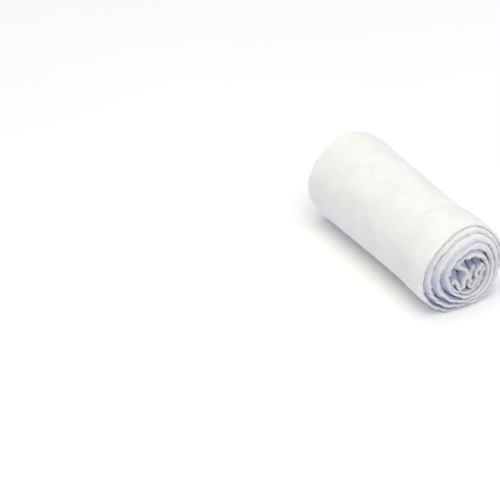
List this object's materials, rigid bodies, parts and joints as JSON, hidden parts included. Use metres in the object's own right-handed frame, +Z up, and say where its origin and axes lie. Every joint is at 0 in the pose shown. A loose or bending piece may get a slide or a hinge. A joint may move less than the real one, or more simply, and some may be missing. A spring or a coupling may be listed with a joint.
{
  "type": "bias cut stockinette roll",
  "caption": "Soft roll of bias cut cotton stockinette, a knitted strip wound on itself, for padding or bandaging under a cast or splint.",
  "frame": {"origin": "middle of the bottom of the roll's box, under the middle of the roll", "axes": "+X along the roll, towards the end with the open heart; +Z up, with the roll lying on its flat spot"},
  "size_m": [0.103, 0.0462, 0.0454],
  "materials": {
    "white_cotton_knit": "soft unbleached-white cotton jersey, matt"
  },
  "bodies": {
    "root": {"stockinette_roll": "white_cotton_knit"}
  },
  "joints": []
}
